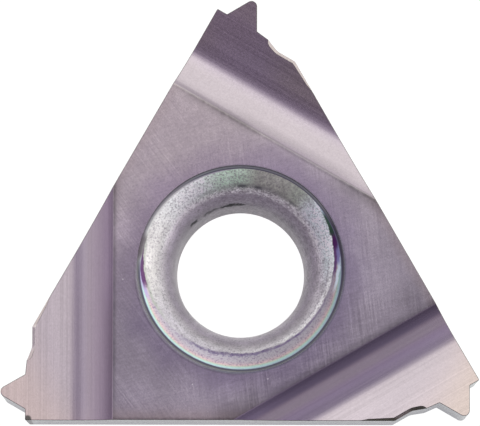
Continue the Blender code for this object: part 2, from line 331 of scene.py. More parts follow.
def corner_rows():
    """All rows outside the screw hole for one third, in a corner's own axes: places, normals, regions.

    A column's ray runs from the hole rim to its place M under the outline, and crosses the rows at
    their distances along the tooth, or ends where the outline comes first. From M it goes on to the
    edge. Then come the edge's quarter circle with the broken edge between its halves, the flank, which
    is straight between the top and base outlines, the base's edge and the base.
    """
    top, base, across, width = third_of_outline()
    lean = (base - top) / THICKNESS
    levels = row_levels()
    inset = (EDGE_RADIUS + width)[:, None]
    edge = top - across * inset
    edge = top - lean * groove_height(edge[:, 1])[:, None] - across * inset
    edge_height = groove_height(edge[:, 1])
    flank = unit(np.concatenate([across, (across * lean).sum(axis=1, keepdims=True)], axis=1))
    down = np.tile((0.0, 0.0, -1.0), (len(top), 1))

    under = np.stack([edge[:, 0], np.minimum(edge[:, 1], levels[-1])], axis=1)
    rim = unit(under) * (RIM_RADIUS + RIM_ROUNDING)
    rows = []

    def add(points, heights, normals, region):
        heights = np.broadcast_to(heights, len(points))[:, None]
        rows.append((np.concatenate([points, heights], axis=1), normals, region))

    def add_upper(points, region):
        slope = groove_slope(points[:, 1])
        upward = unit(np.stack([np.zeros_like(slope), -slope, np.ones_like(slope)], axis=1))
        add(points, groove_height(points[:, 1]), upward, region)
        return upward

    reach = under[:, 1] - rim[:, 1]
    first = np.clip((levels[0] - rim[:, 1]) / reach, 0.0, 1.0)[:, None]
    for share in (0.0, 0.3, 0.65):
        add_upper(rim + (under - rim) * first * share, TOP_FACE)
    for number, level in enumerate(levels):
        share = np.clip((level - rim[:, 1]) / reach, 0.0, 1.0)[:, None]
        add_upper(rim + (under - rim) * share, TOP_FACE if number < 4 else RAKE_FACE)
    add_upper(under + (edge - under) * 0.5, RAKE_FACE)
    upward = add_upper(edge, FLANK)

    for sine, cosine, second in edge_section():
        height = edge_height - EDGE_RADIUS * (1.0 - cosine) - (width if second else 0.0)
        inward = EDGE_RADIUS * (1.0 - sine) + (0.0 if second else width)
        points = top - lean * height[:, None] - across * np.reshape(inward, (-1, 1))
        add(points, height, unit(upward * cosine + flank * sine), FLANK)
    flank_top = edge_height - EDGE_RADIUS - width
    for share in (0.25, 0.5, 0.75, 1.0):
        height = flank_top + (BASE_EDGE_RADIUS - THICKNESS - flank_top) * share
        add(top - lean * height[:, None], height, flank, FLANK)
    for cosine, sine, _ in edge_section():
        height = BASE_EDGE_RADIUS * (1.0 - cosine) - THICKNESS
        points = base - across * BASE_EDGE_RADIUS * (1.0 - sine)
        add(points, height, unit(flank * sine + down * cosine), FLANK)
    last = rows[-1][0][:, :2]
    inner = under * 0.97
    foot = unit(under) * (flare_radius() + FLARE_MARGIN)
    for points in (last + (inner - last) * 0.3, inner, (inner + foot) * 0.5, foot):
        add(points, -THICKNESS, down, FLANK)
    places, normals, regions = zip(*rows)
    return np.stack(places), np.stack(normals), np.array(regions), np.arctan2(under[:, 1], under[:, 0])


def flare_radius():
    """Radius of the hole's flare where it meets the base."""
    return THROAT_RADIUS + (THICKNESS - THROAT_END) * UNDERSIDE_SLOPE


def bore_section():
    """Lower part of the screw hole from the base up, as radius and height, with normals into the hole.

    A flare, its rounded corner, and the bore, which widens a little up to the seat.
    """
    return rounded_chain([
        ((flare_radius() + 1.0, -THICKNESS), 0.0, 0),
        ((flare_radius(), -THICKNESS), 0.03, 4),
        ((THROAT_RADIUS, -THROAT_END), 0.04, 4),
        ((BORE_MOUTH_RADIUS, SEAT_CENTRE[1]), 0.3, 1),
        ((BORE_MOUTH_RADIUS, 0.0), 0.0, 0),
    ], 0.2)


def seat_arc(share, last_radius):
    """Seat at a share of the way round its arc, which leaves the bore upright and bulges into the hole."""
    last = np.arccos((SEAT_CENTRE[0] - last_radius) / SEAT_RADIUS)
    turn = last * share
    normals = np.stack([-np.cos(turn), np.sin(turn)], axis=-1)
    return SEAT_CENTRE + normals * SEAT_RADIUS, normals


def hole_rows(angle):
    """Screw hole's rows from the base up, for columns at these angles, with their normals.

    Over the bore comes the seat arc, up to where the column meets an off-centre circle. From there a
    flatter facet runs straight to the rim's brink, which leaves a crescent on one side. The rim's
    broken edge follows.
    """
    spokes = np.stack([np.cos(angle), np.sin(angle)], axis=-1)
    along = spokes @ FACET_CENTRE
    facet = along + np.sqrt(along ** 2 - FACET_CENTRE @ FACET_CENTRE + FACET_RADIUS ** 2)
    many, few = (np.sin(angle * count) for count in FACET_WAVE_COUNTS)
    facet = np.minimum(facet + FACET_WAVE * many * few, SEAT_BRINK[0])
    profile = [(np.tile(point, (len(angle), 1)), np.tile(normal, (len(angle), 1)))
               for point, normal in zip(*bore_section())]
    for share in np.linspace(0.03, 1.0, 18):
        profile.append(seat_arc(share, facet))
    corner, corner_normal = profile[-1]
    run = SEAT_BRINK - corner
    length = np.linalg.norm(run, axis=1, keepdims=True)
    across = np.stack([-run[:, 1], run[:, 0]], axis=1) / np.maximum(length, 1.0e-9)
    across = np.where(length > 1.0e-3, across, corner_normal)
    for share in (0.04, 0.5, 0.98):
        profile.append((corner + run * share, across))
    rim, rim_normals = rounded_chain([
        (SEAT_BRINK - (0.1, 0.1), 0.0, 0),
        (SEAT_BRINK, 0.01, 1),
        ((RIM_RADIUS, 0.0), RIM_ROUNDING * 3.0, 6),
        ((RIM_RADIUS + 1.0, 0.0), 0.0, 0),
    ], 0.03)
    profile += [(np.tile(point, (len(angle), 1)), np.tile(normal, (len(angle), 1)))
                for point, normal in zip(rim[1:-1], rim_normals[1:-1])]

    def around(pairs):
        return np.concatenate([pairs[..., :1] * spokes, pairs[..., 1:]], axis=-1)

    points, normals = zip(*profile)
    return around(np.stack(points)), around(np.stack(normals))


def plate_grid():
    """Whole plate as rows and columns: places, normals, each row's region, and the corners' own places."""
    places, normals, regions, angle = corner_rows()

    def placed(grid):
        return np.concatenate([
            np.concatenate([turned(grid[..., :2], turn), grid[..., 2:]], axis=2) for turn in CORNER_TURNS
        ], axis=1)

    hole, hole_normals = hole_rows(np.concatenate([angle + turn for turn in CORNER_TURNS]))
    return (
        np.concatenate([placed(places), hole]),
        np.concatenate([placed(normals), hole_normals]),
        np.concatenate([regions, np.full(len(hole), HOLE)]),
        np.concatenate([np.tile(places, (1, CORNERS, 1)), hole]),
    )


def hole_place():
    """Place of the hole axis when the origin is in the middle of the outline's box."""
    top = third_of_outline()[0]
    whole = np.concatenate([turned(top, turn) for turn in CORNER_TURNS])
    return -(whole.min(axis=0) + whole.max(axis=0)) / 2.0


def build_insert(materials):
    """Write the grid into a mesh, close it both ways, weld what meets, and give it its own normals."""
    points, normals, regions, own = plate_grid()
    row_count, column_count = points.shape[:2]
    axis = hole_place()
    points = (points + (axis[0], axis[1], THICKNESS)) * MM
    row = np.arange(row_count)[:, None] * column_count
    next_row = (np.arange(row_count)[:, None] + 1) % row_count * column_count
    column = np.arange(column_count)
    next_column = (column + 1) % column_count
    quads = np.stack([
        row + column, row + next_column, next_row + next_column, next_row + column,
    ], axis=-1).reshape(-1, 4)
    mesh = bpy.data.meshes.new("threading_insert")
    mesh.from_pydata(points.reshape(-1, 3), [], quads.tolist())
    mesh.polygons.foreach_set("material_index", np.repeat(regions, column_count))
    for name, grid in (("corner_place", own), ("surface_normal", normals)):
        kept = mesh.attributes.new(name, "FLOAT_VECTOR", "POINT")
        kept.data.foreach_set("vector", grid.reshape(-1).astype(np.float32))

    shape = bmesh.new()
    shape.from_mesh(mesh)
    bmesh.ops.remove_doubles(shape, verts=shape.verts, dist=WELD_DISTANCE)
    shape.to_mesh(mesh)
    shape.free()
    mesh.shade_smooth()
    welded = np.empty(len(mesh.vertices) * 3, np.float32)
    mesh.attributes["surface_normal"].data.foreach_get("vector", welded)
    mesh.normals_split_custom_set_from_vertices(welded.reshape(-1, 3))
    mesh.attributes.remove(mesh.attributes["surface_normal"])
    for material in materials:
        mesh.materials.append(material)
    insert = bpy.data.objects.new("threading_insert", mesh)
    bpy.context.scene.collection.objects.link(insert)
    return insert


def fill(socket, given):
    """Give a socket a plain value, or a link from another socket."""
    if isinstance(given, bpy.types.NodeSocket):
        socket.id_data.links.new(given, socket)
    else:
        socket.default_value = given


def node(tree, kind, inputs=(), **settings):
    """Add a shader node, set its options and fill its inputs."""
    item = tree.nodes.new("ShaderNode" + kind)
    for name, setting in settings.items():
        setattr(item, name, setting)
    for name, given in dict(inputs).items():
        fill(item.inputs[name], given)
    return item


def owner(*given):
    """Node tree of the first socket among the given values."""
    return next(part.id_data for part in given if isinstance(part, bpy.types.NodeSocket))


def value(operation, first, second=0.0, third=0.0):
    """Result of a Math node."""
    inputs = {0: first, 1: second, 2: third}
    return node(owner(first, second, third), "Math", inputs, operation=operation).outputs[0]


def times(*factors):
    """Product of values."""
    total = factors[0]
    for factor in factors[1:]:
        total = value("MULTIPLY", total, factor)
    return total


def plus(first, second):
    """Sum of two values."""
    return value("ADD", first, second)


def minus(first, second):
    """Difference of two values."""
    return value("SUBTRACT", first, second)


def scaled(source, gain, shift):
    """Value times a gain, plus a shift."""
    return value("MULTIPLY_ADD", source, gain, shift)


def vector(operation, first, second=(0.0, 0.0, 0.0)):
    """Vector result of a Vector Math node."""
    inputs = {0: first, 1: second}
    return node(owner(first, second), "VectorMath", inputs, operation=operation).outputs["Vector"]


def dot(first, second):
    """Dot product of two vectors."""
    inputs = {0: first, 1: second}
    return node(owner(first, second), "VectorMath", inputs, operation="DOT_PRODUCT").outputs["Value"]


def vector_length(first):
    """Length of a vector."""
    return node(owner(first), "VectorMath", {0: first}, operation="LENGTH").outputs["Value"]


def component(first, letter):
    """One of a vector's X, Y and Z."""
    return node(owner(first), "SeparateXYZ", {"Vector": first}).outputs[letter]


def remapped(source, low, high, new_low=0.0, new_high=1.0, kind="LINEAR"):
    """Value carried from one range to another, held at its ends."""
    settings = {"Value": source, "From Min": low, "From Max": high, "To Min": new_low, "To Max": new_high}
    return node(owner(source), "MapRange", settings, interpolation_type=kind).outputs["Result"]


def eased(source, low, high, new_low=0.0, new_high=1.0):
    """Value carried from one range to another with soft ends."""
    return remapped(source, low, high, new_low, new_high, "SMOOTHSTEP")


def mixed(share, first, second, blend="MIX"):
    """Two colours mixed by a share."""
    item = node(owner(share, first, second), "Mix", data_type="RGBA", blend_type=blend, clamp_factor=True)
    for socket, given in ((item.inputs[0], share), (item.inputs[6], first), (item.inputs[7], second)):
        fill(socket, (*given, 1.0) if isinstance(given, tuple) else given)
    return item.outputs[2]


def dyed(share, colour, tint):
    """Colour multiplied by a tint, by a share."""
    return mixed(share, colour, tint, "MULTIPLY")


def noise(place, scale, detail=3.0, roughness=0.5):
    """Value of a noise that is about 0.5 on average."""
    settings = {"Vector": place, "Scale": scale, "Detail": detail, "Roughness": roughness}
    return node(owner(place), "TexNoise", settings).outputs["Fac"]


def colour_bands(source, bands):
    """Colour ramp through (position, colour) bands."""
    ramp = node(owner(source), "ValToRGB", {"Fac": source})
    stops = ramp.color_ramp.elements
    for number, (position, colour) in enumerate(bands):
        stop = stops[number] if number < 2 else stops.new(position)
        stop.position = position
        stop.color = (*colour, 1.0)
    return ramp.outputs["Color"]


def around_centre(place, centre):
    """Distance in the plane from a centre, and the unit direction from it."""
    flat = vector("MULTIPLY", vector("SUBTRACT", place, (*centre, 0.0)), (1.0, 1.0, 0.0))
    return vector_length(flat), vector("NORMALIZE", flat)


def sector(direction, azimuth, inner, outer):
    """Mask that is 1 within inner degrees of an azimuth and fades to 0 at outer degrees."""
    along = dot(direction, direction_towards(azimuth, 90.0))
    return eased(along, math.cos(math.radians(outer)), math.cos(math.radians(inner)))


def band(source, middle, half, soft):
    """Mask of a band round a middle, with soft ends."""
    return eased(value("ABSOLUTE", minus(source, middle)), half + soft, half)


def zones(source, spoke, rows):
    """Masks of zones, each a band of a value by a sector, and what each row says last."""
    for azimuth, inner, outer, middle, half, soft, result in rows:
        yield times(band(source, middle, half, soft), sector(spoke, azimuth, inner, outer)), result


def place_group(tree, group, inputs):
    """Place a shared effect in a material and give its outputs."""
    return node(tree, "Group", inputs, node_tree=group).outputs


def make_group(name, inputs, outputs):
    """Start a shared effect: a shader node group with named inputs and outputs."""
    group = bpy.data.node_groups.new(name, "ShaderNodeTree")
    for socket, kind, given in inputs:
        made = group.interface.new_socket(name=socket, in_out="INPUT", socket_type="NodeSocket" + kind)
        made.default_value = given
    for socket, kind in outputs:
        group.interface.new_socket(name=socket, in_out="OUTPUT", socket_type="NodeSocket" + kind)
    return group, group.nodes.new("NodeGroupInput").outputs, group.nodes.new("NodeGroupOutput").inputs


def coating_tint_group(axis):
    """Colour of the coating: one tint near the screw hole, one towards the edges, and slow clouds."""
    group, inputs, outputs = make_group(
        "coating_tint",
        [("Near Colour", "Color", (0.4, 0.33, 0.42, 1.0)), ("Far Colour", "Color", (0.45, 0.39, 0.44, 1.0)),
         ("Near", "Float", 3.1), ("Far", "Float", 4.5), ("Clouds", "Float", 0.1)],
        [("Color", "Color")],
    )
    place = node(group, "TexCoord").outputs["Object"]
    centred = vector("SUBTRACT", place, (axis[0] * MM, axis[1] * MM, 0.0))
    distance = vector_length(vector("MULTIPLY", centred, (1000.0, 1000.0, 0.0)))
    cloud = noise(place, 900.0, 4.0, 0.6)
    share = eased(plus(distance, scaled(cloud, 1.2, -0.6)), inputs["Near"], inputs["Far"])
    colour = mixed(share, inputs["Near Colour"], inputs["Far Colour"])
    fine = noise(place, 4200.0, 3.0, 0.6)
    both = plus(times(cloud, 0.6), times(fine, 0.4))
    shade = scaled(minus(both, 0.5), inputs["Clouds"], 1.0)
    group.links.new(vector("MULTIPLY", colour, shade), outputs["Color"])
    return group


def borders_group(axis):
    """Distances in millimetres: along the nearest tooth from the hole axis, and in from the long sides."""
    group, inputs, outputs = make_group(
        "borders", [PLACE_INPUT], [("Along", "Float"), ("Inside", "Float")],
    )
    centred = vector("SUBTRACT", inputs["Vector"], (*axis, 0.0))
    for output, first in (("Along", FIRST_AXIS), ("Inside", FIRST_AXIS + math.pi / 2.0)):
        farthest = None
        for index in range(CORNERS):
            reach = dot(centred, direction_towards(math.degrees(first - index * THIRD_TURN), 90.0))
            farthest = reach if farthest is None else value("MAXIMUM", farthest, reach)
        if output == "Inside":
            farthest = minus(NEAR_SIDE, farthest)
        group.links.new(farthest, outputs[output])
    return group


def grinding_lines_group():
    """Fine parallel lines along the x axis of the given place: a noise drawn out along them."""
    group, inputs, outputs = make_group(
        "grinding_lines",
        [PLACE_INPUT, ("Turn", "Float", 0.0), ("Spacing", "Float", 10.0), ("Length", "Float", 0.6)],
        [("Lines", "Float")],
    )
    turn = node(group, "VectorRotate", {"Vector": inputs["Vector"], "Angle": inputs["Turn"]},
                rotation_type="Z_AXIS").outputs["Vector"]
    stretch = node(group, "CombineXYZ", {"X": inputs["Length"], "Y": inputs["Spacing"], "Z": 1.0})
    drawn = vector("MULTIPLY", turn, stretch.outputs["Vector"])
    fine = noise(drawn, 1.0, 3.0, 0.6)
    broad = noise(vector("MULTIPLY", drawn, (0.5, 0.22, 1.0)), 1.0, 1.0)
    group.links.new(plus(times(fine, 0.85), times(broad, 0.15)), outputs["Lines"])
    return group


def lapping_scratches_group(lines_group):
    """Hatch of a lapped face: a set of lines on the left, one on the right, a faint third, and a grain."""
    group, inputs, outputs = make_group(
        "lapping_scratches", [PLACE_INPUT], [("Scratches", "Float"), ("Grain", "Float")],
    )
    hatches = []
    for turn, spacing, reach in ((127.0, 24.0, 0.5), (97.0, 22.0, 0.9), (15.0, 18.0, 1.2)):
        hatches.append(place_group(group, lines_group, {
            "Vector": inputs["Vector"], "Turn": -math.radians(turn), "Spacing": spacing, "Length": reach,
        })["Lines"])
    right = eased(component(inputs["Vector"], "X"), -2.6, -0.6)
    main = plus(times(hatches[1], right), times(hatches[0], minus(1.0, right)))
    strength = remapped(noise(inputs["Vector"], 0.9, 2.0), 0.35, 0.62, 0.25, 1.0)
    main = times(minus(main, 0.5), strength)
    faint = times(minus(hatches[2], 0.5), 0.35)
    group.links.new(plus(plus(main, faint), 0.5), outputs["Scratches"])
    group.links.new(noise(inputs["Vector"], 16.0, 3.0, 0.75), outputs["Grain"])
    return group


def specks_group():
    """Scattered small bright specks, as a mask."""
    group, inputs, outputs = make_group(
        "specks",
        [PLACE_INPUT, ("Density", "Float", 3.0), ("Size", "Float", 0.05)],
        [("Mask", "Float")],
    )
    cells = node(group, "TexVoronoi", {"Vector": inputs["Vector"], "Scale": inputs["Density"]})
    near = value("LESS_THAN", cells.outputs["Distance"], inputs["Size"])
    chosen = node(group, "SeparateColor", {"Color": cells.outputs["Color"]}).outputs["Red"]
    group.links.new(times(near, value("GREATER_THAN", chosen, 0.72)), outputs["Mask"])
    return group


def pressed_grain_group():
    """Grain of a pressed and sintered surface: slow mottling, fine darker dots, and a few pores."""
    group, inputs, outputs = make_group(
        "pressed_grain",
        [PLACE_INPUT, ("Scale", "Float", 12.0)],
        [("Grain", "Float"), ("Dots", "Float"), ("Pores", "Float")],
    )
    coarse = noise(inputs["Vector"], inputs["Scale"], 3.0, 0.6)
    fine = noise(inputs["Vector"], times(inputs["Scale"], 2.1), 3.0, 0.7)
    grain = plus(times(coarse, 0.5), times(fine, 0.5))
    group.links.new(grain, outputs["Grain"])
    group.links.new(remapped(fine, 0.50, 0.68), outputs["Dots"])
    group.links.new(remapped(coarse, 0.33, 0.27), outputs["Pores"])
    return group


def start_material(name):
    """New material: its node tree and its shader."""
    material = bpy.data.materials.new(name)
    material.use_nodes = True
    shader = material.node_tree.nodes["Principled BSDF"]
    shader.inputs["Metallic"].default_value = 1.0
    return material, material.node_tree, shader


def coating(tree, groups, near, far, clouds):
    """Colour of the coating from its shared effect."""
    inputs = {"Near Colour": (*near, 1.0), "Far Colour": (*far, 1.0), "Clouds": clouds}
    return place_group(tree, groups["tint"], inputs)["Color"]


def in_millimetres(tree):
    """Object place in millimetres."""
    return vector("MULTIPLY", node(tree, "TexCoord").outputs["Object"], (1000.0,) * 3)


def corner_place(tree):
    """Place in the axes of the nearest corner, in millimetres."""
    return node(tree, "Attribute", attribute_name="corner_place").outputs["Vector"]


def finish_surface(tree, shader, colour, roughness, height, distance):
    """Link a colour, a roughness and a relief of the given depth in millimetres into a shader."""
    tree.links.new(colour, shader.inputs["Base Color"])
    tree.links.new(roughness, shader.inputs["Roughness"])
    bump = node(tree, "Bump", {"Strength": 1.0, "Distance": distance * MM, "Height": height})
    tree.links.new(bump.outputs["Normal"], shader.inputs["Normal"])


def lapped_face(groups, axis):
    """Top face: violet-grey, lapped, with a fine hatch, a few specks, and dark along the ridges and rim."""
    material, tree, shader = start_material("coated_lapped_face")
    place = in_millimetres(tree)
    tint = coating(tree, groups, (0.350, 0.290, 0.392), (0.458, 0.402, 0.456), 0.35)
    borders = place_group(tree, groups["borders"], {"Vector": place})
    radius, spoke = around_centre(place, axis)
    slow = noise(place, 1.7, 3.0, 0.6)

    # Lighter towards the upper left, olive-grey at the very edge, and painted shade in a thin strip along
    # the lower side's edge
    forwards = dot(place, direction_towards(104.0, 90.0))
    shade = eased(forwards, -3.2, 2.6, 0.76, 1.02)
    wander = scaled(slow, 0.30, -0.15)
    inside = plus(borders["Inside"], wander)
    greyer = mixed(remapped(forwards, -2.8, 3.4), (0.98, 1.0, 1.044), (1.012, 1.0, 0.956))
    tint = vector("MULTIPLY", tint, greyer)
    plainer = times(eased(radius, 4.9, 3.3), sector(spoke, 140, 30, 75))
    tint = dyed(plainer, tint, (1.03, 1.035, 0.985))
    colour = mixed(eased(inside, 0.42, 0.04, 0.0, 0.55), tint, (0.43, 0.365, 0.385))
    lower_side = remapped(component(place, "Y"), -3.0, -3.8)
    browner = times(eased(borders["Inside"], 0.75, 0.15, 0.0, 0.8), lower_side)
    colour = dyed(browner, colour, (1.02, 0.985, 0.95))
    # Painted shade: a thin dark strip on the top face along the lower side's edge
    edge_shade = times(eased(borders["Inside"], 0.11, 0.03), lower_side)
    shade = times(shade, scaled(edge_shade, -0.34, 1.0))

    # Dark along each ridge, spotted: faint at the top corner, and broad at the right one
    near = plus(borders["Along"], times(wander, 0.2))
    spotted = remapped(noise(place, 8.0, 3.0, 0.6), 0.35, 0.6, 0.75, 1.1)
    for azimuth, inner, outer, width, share in (
        (60, 35, 60, 0.14, 0.40), (27, 6, 20, 0.50, 0.36), (96, 4, 16, 0.35, 0.30),
        (180, 35, 60, 0.15, 0.40), (148, 4, 18, 0.35, 0.24), (325, 25, 60, 0.30, 0.36),
        (269, 5, 12, 0.80, 0.32),
    ):
        dark = eased(near, GROOVE_RIDGE - width, GROOVE_RIDGE - 0.01)
        dark = times(dark, spotted, sector(spoke, azimuth, inner, outer))
        shade = times(shade, scaled(dark, -share, 1.0))

    # Round the hole: at its lower left a paler grey ring and a thin dark line, elsewhere a darker ring
    ring = eased(radius, RIM_RADIUS + 0.09, RIM_RADIUS + 0.04)
    pale = times(ring, sector(spoke, 226, 34, 56))
    colour = dyed(pale, colour, (1.16, 1.32, 1.12))
    deep = times(ring, sector(spoke, 312, 48, 72))
    colour = dyed(deep, colour, (0.74, 0.80, 0.78))
    edge = times(remapped(radius, RIM_RADIUS + 0.05, RIM_RADIUS + 0.01), sector(spoke, 48, 50, 64))
    colour = dyed(edge, colour, (0.66, 0.68, 0.70))
    line = times(sector(spoke, 226, 34, 56), band(radius, RIM_RADIUS + 0.085, 0.015, 0.025))
    shade = times(shade, scaled(line, -0.2, 1.0))

    hatch = place_group(tree, groups["scratches"], {"Vector": place})
    specks = place_group(tree, groups["specks"], {"Vector": place, "Density": 2.2, "Size": 0.045})["Mask"]
    for x, y, reach, gain in (
        (-1.5, -4.1, 1.3, 0.28), (4.2, -0.3, 1.5, 0.17), (-3.2, -4.0, 1.2, 0.24), (-2.6, 2.5, 1.0, 0.14),
        (3.7, 1.1, 1.1, 0.14), (5.4, -0.9, 0.9, -0.24), (-3.9, 1.3, 0.9, 0.26), (-0.3, -3.8, 0.8, 0.20),
    ):
        apart = around_centre(place, (axis[0] + x, axis[1] + y))[0]
        patch = eased(plus(apart, wander), reach, 0.0, 1.0, 1.0 + gain)
        shade = times(shade, patch)
    sharper = scaled(sector(spoke, 305, 25, 50), 0.45, 0.42)
    lines = scaled(minus(hatch["Scratches"], 0.5), sharper, 1.0)
    grain = remapped(hatch["Grain"], 0.3, 0.7, 0.88, 1.12)
    colour = vector("MULTIPLY", colour, times(shade, lines, grain))
    colour = mixed(times(specks, 0.6), colour, (0.80, 0.78, 0.81))
    roughness = remapped(hatch["Scratches"], 0.3, 0.7, 0.20, 0.27)
    finish_surface(tree, shader, colour, roughness, hatch["Scratches"], 0.0008)
    return material


def drawn_lines(tree, groups, place, spacing, reach):
    """Grinding lines along a corner's ridge from their shared effect."""
    inputs = {"Vector": place, "Spacing": spacing, "Length": reach}
    return place_group(tree, groups["lines"], inputs)["Lines"]


def ground_rake(groups, axis):
    """Groove and rake face: warmer, with fine grinding lines parallel to the ridge."""
    material, tree, shader = start_material("coated_ground_rake")
    place = corner_place(tree)
    tint = coating(tree, groups, (0.420, 0.354, 0.446), (0.436, 0.378, 0.428), 0.12)
    lines = drawn_lines(tree, groups, place, 21.0, 0.18)
    along = component(place, "Y")
    grain = noise(place, 16.0, 2.0, 0.6)
    radius, spoke = around_centre(in_millimetres(tree), axis)
    on_top = sector(spoke, 60, 40, 60)
    stronger = remapped(along, GROOVE_FLOOR - 0.2, GROOVE_FLOOR + 0.1, 0.20, 0.56)
    stronger = times(stronger, scaled(on_top, -0.86, 1.0))
    marked = scaled(minus(lines, 0.5), stronger, 1.0)
    finer = drawn_lines(tree, groups, place, 40.0, 0.05)
    finest = times(on_top, band(along, GROOVE_FLOOR + 0.30, 0.25, 0.55), 0.34)
    marked = scaled(minus(finer, 0.5), finest, marked)
    rough = remapped(along, GROOVE_FLOOR - 0.2, GROOVE_FLOOR + 0.1, 0.14, 0.28)
    rough = times(rough, scaled(on_top, 1.1, 1.0))
    grained = scaled(minus(grain, 0.5), rough, 1.0)
    shade = times(marked, grained)
    # Painted shade in bands along each corner's groove and rake face, where the wall, floor or rake faces
    # darker parts of the studio, and painted light at the left corner's ridge
    for dark, share in zones(along, spoke, (
        (60, 26, 50, GROOVE_RIDGE - 0.01, 0.02, 0.07, 0.36),
        (66, 12, 34, GROOVE_RIDGE + 0.17, 0.06, 0.24, 0.13),
        (60, 26, 50, GROOVE_FLOOR - 0.31, 0.08, 0.12, 0.07),
        (99, 4, 16, GROOVE_RIDGE + 0.03, 0.05, 0.10, 0.24),
        (60, 40, 60, GROOVE_FLOOR + 0.95, 0.10, 0.50, 0.06),
        (60, 40, 60, GROOVE_FLOOR + 0.12, 0.05, 0.15, 0.05),
        (180, 26, 50, GROOVE_RIDGE - 0.01, 0.02, 0.06, 0.22),
        (160, 16, 44, GROOVE_RIDGE + 0.12, 0.03, 0.30, -0.22),
        (190, 20, 45, GROOVE_FLOOR - 0.45, 0.12, 0.20, 0.09),
        (326, 20, 66, GROOVE_RIDGE + 0.14, 0.11, 0.20, 0.43),
        (300, 26, 50, GROOVE_FLOOR - 0.47, 0.06, 0.14, 0.08),
        (322, 16, 34, GROOVE_FLOOR - 0.12, 0.03, 0.10, 0.12),
        (336, 8, 26, GROOVE_FLOOR + 0.30, 0.30, 0.30, 0.06),
    )):
        shade = times(shade, scaled(dark, -share, 1.0))
    less = times(scaled(sector(spoke, 320, 20, 50), -0.5, 1.0), scaled(on_top, -0.7, 1.0))
    warm = times(eased(radius, 6.3, 8.0), less)
    colour = dyed(warm, tint, (1.18, 1.11, 0.99))
    tip = times(eased(radius, 6.9, 8.4), sector(spoke, 325, 25, 50))
    colour = dyed(tip, colour, (1.0, 0.985, 0.89))
    beside = value("MAXIMUM", sector(spoke, 62, 8, 24), sector(spoke, 112, 6, 18))
    browner = times(remapped(along, GROOVE_FLOOR, GROOVE_FLOOR + 0.4), beside)
    colour = dyed(browner, colour, (0.99, 1.01, 0.88))
    for there, hue in zones(along, spoke, (
        (180, 40, 60, GROOVE_FLOOR - 0.30, 0.06, 0.25, (0.98, 0.98, 1.04)),
        (300, 40, 60, GROOVE_FLOOR - 0.36, 0.10, 0.30, (0.96, 0.97, 1.08)),
        (300, 40, 60, GROOVE_RIDGE + 0.52, 0.05, 0.22, (1.0, 1.07, 0.99)),
        (300, 40, 60, GROOVE_RIDGE + 0.16, 0.08, 0.16, (0.93, 0.97, 1.08)),
        (60, 40, 60, GROOVE_FLOOR + 0.60, 0.70, 0.50, (0.98, 0.965, 1.03)),
    )):
        colour = dyed(there, colour, hue)
    colour = vector("MULTIPLY", colour, shade)
    colour = mixed(worn_corner(tree, axis), colour, (0.04, 0.045, 0.04))
    roughness = remapped(lines, 0.25, 0.75, 0.19, 0.25)
    finish_surface(tree, shader, colour, roughness, lines, 0.0002)
    return material


def worn_corner(tree, axis):
    """Mask of a small dark wear mark at the left corner's end of the lower side."""
    centre = (axis[0] - 6.67, axis[1] - 4.72)
    return eased(around_centre(in_millimetres(tree), centre)[0], 0.15, 0.08, 0.0, 0.85)


def ground_flank(groups, axis):
    """Edges, sides and base: ground and coated, paler, with a warm tint on the broken edges."""
    material, tree, shader = start_material("coated_ground_flank")
    place = in_millimetres(tree)
    tint = coating(tree, groups, (0.49, 0.505, 0.52), (0.55, 0.585, 0.585), 0.15)
    facing = node(tree, "SeparateXYZ", {"Vector": node(tree, "TexCoord").outputs["Normal"]}).outputs["Z"]
    # Painted shade: the rounded edges that face upwards are dark
    colour = mixed(remapped(facing, 0.05, 0.25), tint, (0.13, 0.12, 0.12))
    broken = band(facing, 0.70, 0.035, 0.03)
    colour = mixed(broken, colour, (0.62, 0.55, 0.53))
    spoke = around_centre(place, axis)[1]
    pale = times(remapped(facing, 0.25, 0.60), sector(spoke, 198.3, 2, 3.5))
    colour = mixed(pale, colour, (0.76, 0.70, 0.69))
    for azimuth, inner, outer, tint in (
        (318, 3, 5, (0.42, 0.38, 0.34)), (312.5, 3, 4.5, (0.20, 0.20, 0.15)),
        (322, 1, 2.4, (0.18, 0.18, 0.14)),
    ):
        colour = mixed(times(broken, sector(spoke, azimuth, inner, outer)), colour, tint)
    hatch = place_group(tree, groups["scratches"], {"Vector": place})
    colour = vector("MULTIPLY", colour, remapped(hatch["Scratches"], 0.35, 0.65, 0.92, 1.08))
    colour = mixed(worn_corner(tree, axis), colour, (0.04, 0.045, 0.04))
    roughness = remapped(hatch["Scratches"], 0.3, 0.7, 0.22, 0.30)
    finish_surface(tree, shader, colour, roughness, hatch["Scratches"], 0.0004)
    return material


